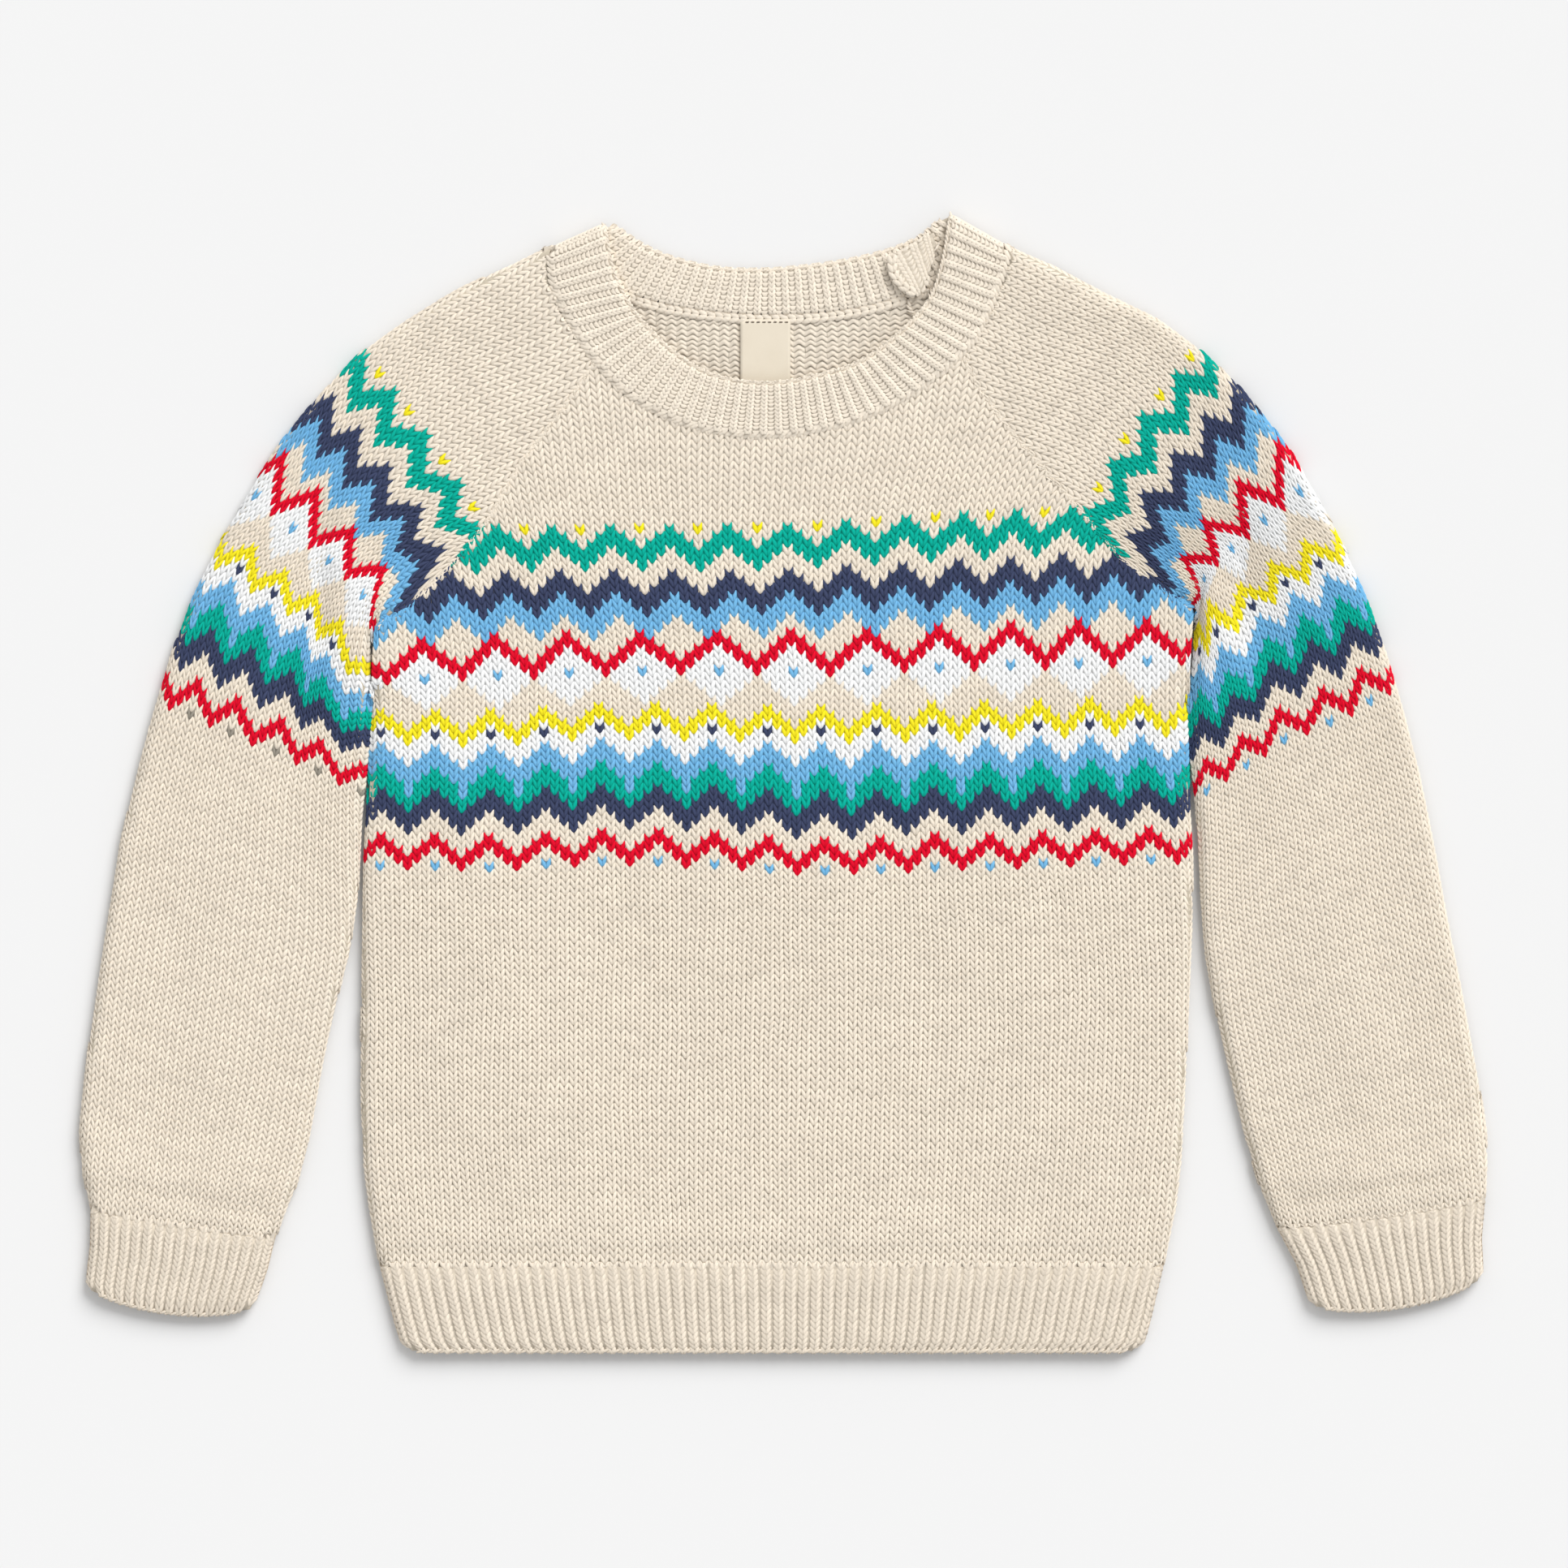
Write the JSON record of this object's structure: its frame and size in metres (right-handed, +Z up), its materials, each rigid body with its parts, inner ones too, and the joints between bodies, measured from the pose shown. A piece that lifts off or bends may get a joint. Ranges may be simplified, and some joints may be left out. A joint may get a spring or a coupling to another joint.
{
  "type": "fair isle jumper",
  "caption": "Child's raglan-sleeved knitted jumper laid flat and face up, with ribbed hem, cuffs and doubled neckband.",
  "frame": {"origin": "middle of the garment's outline in plan, on the surface that it lies on", "axes": "+X towards the wearer's left sleeve, +Y towards the neck, +Z up, away from the surface, out of the garment's face"},
  "size_m": [0.5388, 0.435, 0.0087],
  "materials": {
    "cream_knit": "matt knitted cotton with a coloured fair isle band",
    "cream_rib": "matt ribbed cotton",
    "label_ribbon": "smooth woven ribbon"
  },
  "bodies": {
    "root": {"front": "cream_knit", "back": "cream_knit", "hem_rib_front": "cream_rib", "hem_rib_back": "cream_rib", "sleeve_right": "cream_knit", "sleeve_left": "cream_knit", "cuff_right": "cream_rib", "cuff_left": "cream_rib", "neckband": "cream_rib", "placket_end": "cream_rib", "care_label": "label_ribbon"}
  },
  "joints": []
}
